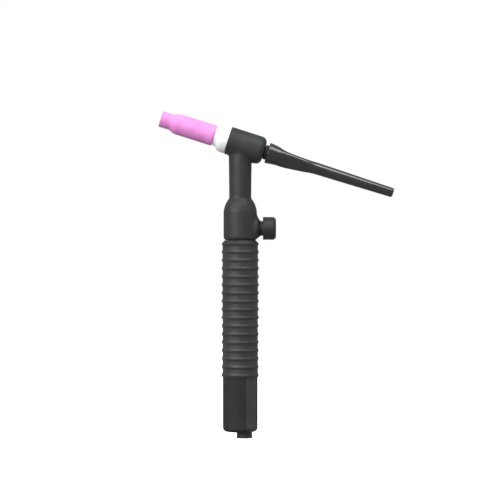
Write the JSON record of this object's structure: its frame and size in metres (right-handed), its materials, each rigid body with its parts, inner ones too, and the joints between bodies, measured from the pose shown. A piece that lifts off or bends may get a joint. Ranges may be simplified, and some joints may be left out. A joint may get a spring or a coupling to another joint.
{
  "type": "tig torch",
  "caption": "Air-cooled TIG welding torch: ribbed straight handle, gas valve knob, tilted head, pink ceramic cup and long back cap.",
  "frame": {"origin": "on the handle's axis, at the middle of the ribbed grip, where the hand holds it", "axes": "+Z along the handle's axis towards the head; -X is the side the cup points to and +X the side of the valve knob and back cap; +Y completes the frame, so the torch is seen from the front looking along +Y"},
  "size_m": [0.1968, 0.0314, 0.2729],
  "materials": {
    "grip_rubber": "matte",
    "handle_plastic": "satin",
    "overmould_rubber": "satin",
    "seal_rubber": "satin",
    "cap_plastic": "gloss",
    "pink_alumina": "satin",
    "ptfe": "satin",
    "brass": "satin",
    "copper": "satin",
    "tungsten": "satin"
  },
  "bodies": {
    "torch": {"grip_sleeve": "grip_rubber", "handle_tube": "handle_plastic", "end_bush": "handle_plastic", "torch_shell": "overmould_rubber", "neck_pipe": "copper", "valve_body": "brass", "cable_boot": "overmould_rubber", "power_adapter": "brass", "rear_pipe": "copper", "pipe_sleeving": "overmould_rubber", "valve_gland_nut": "brass", "head_core": "brass"},
    "valve_packing": {"valve_stem_o_ring": "seal_rubber"},
    "valve_spindle": {"valve_stem": "brass", "valve_knob": "handle_plastic"},
    "cap_seal": {"back_cap_o_ring": "seal_rubber"},
    "cap": {"back_cap": "cap_plastic"},
    "collet_chuck": {"collet": "copper"},
    "collet_holder": {"collet_body": "copper"},
    "gasket": {"cup_gasket": "ptfe"},
    "cup": {"ceramic_cup": "pink_alumina"},
    "electrode": {"tungsten_electrode": "tungsten"}
  },
  "joints": [
    {"name": "valve_travel", "type": "slide", "parent": "torch", "child": "valve_packing", "axis": [1, 0, 0], "range_m": [0, 0.002]},
    {"name": "valve_turn", "type": "hinge", "parent": "valve_packing", "child": "valve_spindle", "pos_m": [0, 0, 0.067], "axis": [1, 0, 0], "range_deg": [0, 720]},
    {"name": "cap_travel", "type": "slide", "parent": "torch", "child": "cap_seal", "axis": [0.9527, 0, -0.304], "range_m": [0, 0.0075]},
    {"name": "cap_turn", "type": "hinge", "parent": "cap_seal", "child": "cap", "pos_m": [0, 0, 0.1373], "axis": [0.9527, 0, -0.304], "range_deg": [0, 2160]},
    {"name": "collet_travel", "type": "slide", "parent": "torch", "child": "collet_chuck", "axis": [-0.9527, 0, 0.304], "range_m": [0, 0.0075]},
    {"name": "collet_body_turn", "type": "hinge", "parent": "collet_chuck", "child": "collet_holder", "pos_m": [0, 0, 0.1373], "axis": [-0.9527, 0, 0.304], "range_deg": [0, 2160]},
    {"name": "cup_travel", "type": "slide", "parent": "collet_holder", "child": "gasket", "axis": [-0.9527, 0, 0.304], "range_m": [0, 0.006]},
    {"name": "cup_turn", "type": "hinge", "parent": "gasket", "child": "cup", "pos_m": [0, 0, 0.1373], "axis": [-0.9527, 0, 0.304], "range_deg": [0, 1440]},
    {"name": "electrode_feed", "type": "slide", "parent": "collet_chuck", "child": "electrode", "axis": [-0.9527, 0, 0.304], "range_m": [-0.02, 0.012]}
  ],
  "couplings": [
    {"joint": "valve_travel", "follows": "valve_turn", "m_per_rad": 0.00015915},
    {"joint": "cap_travel", "follows": "cap_turn", "m_per_rad": 0.00019894},
    {"joint": "collet_travel", "follows": "collet_body_turn", "m_per_rad": 0.00019894},
    {"joint": "cup_travel", "follows": "cup_turn", "m_per_rad": 0.00023873}
  ]
}
